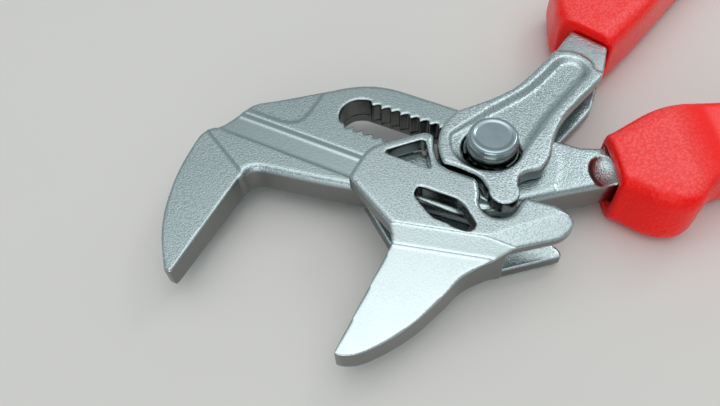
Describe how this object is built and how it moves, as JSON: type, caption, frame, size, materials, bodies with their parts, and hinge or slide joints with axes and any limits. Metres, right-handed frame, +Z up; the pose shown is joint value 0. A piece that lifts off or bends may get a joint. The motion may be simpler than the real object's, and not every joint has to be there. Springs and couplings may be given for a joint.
{
  "type": "pliers wrench",
  "caption": "Adjustable pliers wrench with smooth parallel jaws: a toothed slot and push-button bolt set the opening, and a lever slides one jaw along the body.",
  "frame": {"origin": "on the hinge bolt's axis, at the plane that the tool lies on", "axes": "+X along the jaw's slide, from the fixed jaw to the moving jaw; +Z up out of the button; -Y from the hinge to the jaw tips"},
  "size_m": [0.1568, 0.1637, 0.0191],
  "materials": {
    "forging": "satin plated forging with a fine mottle",
    "polished": "polished plating",
    "spring": "bare spring wire",
    "shell": "fine matte texture",
    "inlay": "soft matte"
  },
  "bodies": {
    "frame": {"body": "forging", "body_grip": "shell", "body_grip_inlay": "inlay"},
    "carriage": {"cover_disc": "polished", "bolt_spring": "spring"},
    "lever": {"lever": "forging", "lever_grip": "shell", "lever_grip_inlay": "inlay"},
    "jaw": {"sliding_jaw": "forging"},
    "button": {"button_bolt": "polished"}
  },
  "joints": [
    {"name": "adjust_slide", "type": "slide", "parent": "frame", "child": "carriage", "axis": [1, 0, 0], "range_m": [-0.027, 0]},
    {"name": "lever_hinge", "type": "hinge", "parent": "carriage", "child": "lever", "pos_m": [0, 0, 0.0078], "axis": [0, 0, 1], "range_deg": [-20, 0]},
    {"name": "jaw_slide", "type": "slide", "parent": "carriage", "child": "jaw", "axis": [1, 0, 0], "range_m": [-0.0036, 0]},
    {"name": "button_press", "type": "slide", "parent": "carriage", "child": "button", "axis": [0, 0, -1], "range_m": [0, 0.0029], "stiffness_N_per_m": 800, "springref_m": -0.002, "deforming": ["bolt_spring"]}
  ],
  "couplings": [
    {"joint": "jaw_slide", "follows": "lever_hinge", "m_per_rad": 0.009985}
  ]
}
